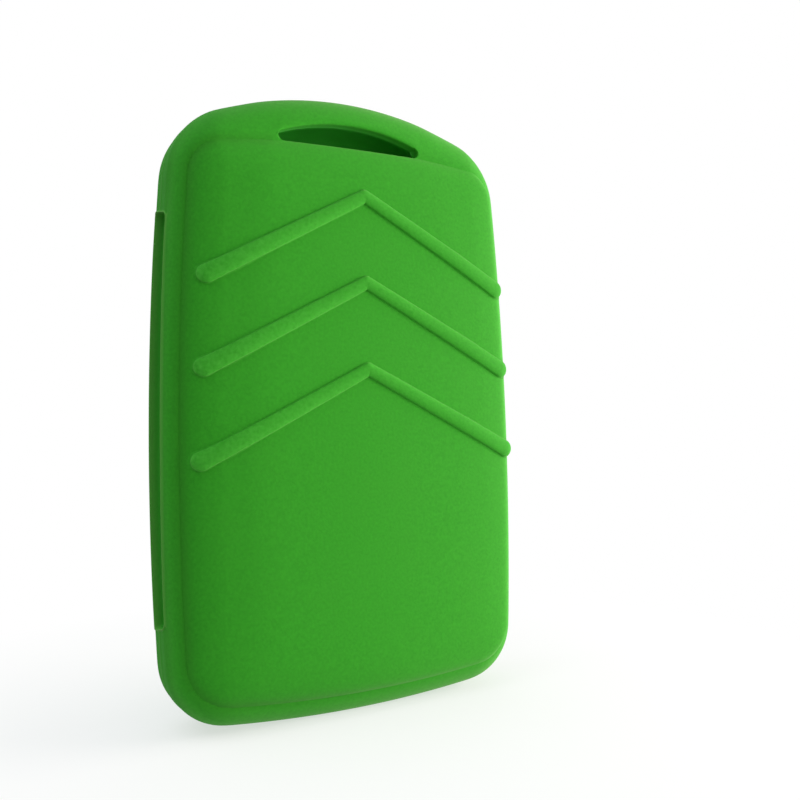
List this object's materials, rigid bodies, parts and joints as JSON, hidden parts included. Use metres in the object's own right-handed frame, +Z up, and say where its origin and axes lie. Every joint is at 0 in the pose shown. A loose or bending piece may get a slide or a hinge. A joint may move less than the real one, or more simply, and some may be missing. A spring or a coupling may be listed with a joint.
{
  "type": "key fob cover",
  "caption": "Soft silicone key fob cover: a rounded sleeve with a side mouth for the fob, chevron grip ribs, a rimmed window and a key ring slot.",
  "frame": {"origin": "middle of the foot, on the parting plane between the two sides, in the plane of the flat land the cover stands on", "axes": "+Z up along the cover's length, -Y out of the chevron side, +Y out of the window side, -X out of the mouth"},
  "size_m": [0.051, 0.0168, 0.082],
  "materials": {
    "green_silicone": "matt moulded silicone with a fine soft-touch grain",
    "white_silicone": "satin off-white silicone bead"
  },
  "bodies": {
    "chevron_side": {"chevron_side_shell": "green_silicone", "chevron_rib_upper": "green_silicone", "chevron_rib_middle": "green_silicone", "chevron_rib_lower": "green_silicone"},
    "window_side": {"window_side_shell": "green_silicone", "window_rim": "white_silicone"}
  },
  "joints": [
    {"name": "mouth_flex", "type": "hinge", "parent": "chevron_side", "child": "window_side", "pos_m": [0.0256, 0, 0.041], "axis": [0, 0, -1], "range_deg": [0, 8], "stiffness_Nm_per_rad": 0.4}
  ]
}
